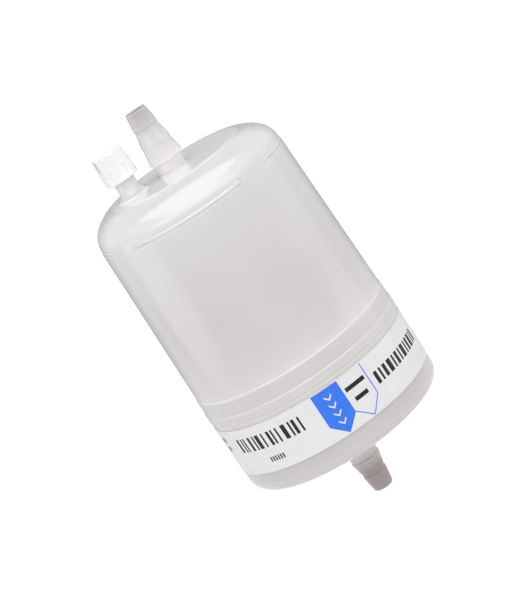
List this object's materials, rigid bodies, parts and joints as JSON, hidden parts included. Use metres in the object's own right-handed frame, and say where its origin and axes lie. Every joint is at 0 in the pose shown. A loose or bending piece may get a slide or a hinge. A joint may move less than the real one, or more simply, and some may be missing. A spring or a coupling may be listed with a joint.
{
  "type": "capsule filter",
  "caption": "Inline disposable capsule filter: translucent welded housing, stepped hose barb at each end, capped luer vent on the flat-topped dome, wrap label and a pleated cartridge inside.",
  "frame": {"origin": "centre of the outlet barb's tip, on the flow axis", "axes": "+Z along the flow axis from outlet to inlet, -X towards the vent"},
  "size_m": [0.0642, 0.0642, 0.1337],
  "materials": {
    "housing": "satin translucent polypropylene",
    "cap": "satin white polypropylene",
    "label": "semi-matte film label with blue and black print",
    "cartridge": "matte white polypropylene",
    "support": "fine non-woven net",
    "medium": "smooth white membrane"
  },
  "bodies": {
    "capsule": {"housing_bowl": "housing", "outlet_base": "housing", "label": "label", "upper_end_cap": "cartridge", "lower_end_cap": "cartridge", "outer_cage": "cartridge", "inner_core": "cartridge", "upstream_support": "support", "filter_medium": "medium", "downstream_support": "support"},
    "vent_closure": {"vent_cap": "cap"}
  },
  "joints": [
    {"name": "vent_cap_lift", "type": "slide", "parent": "capsule", "child": "vent_closure", "axis": [0, 0, 1], "range_m": [0, 0.012]}
  ]
}
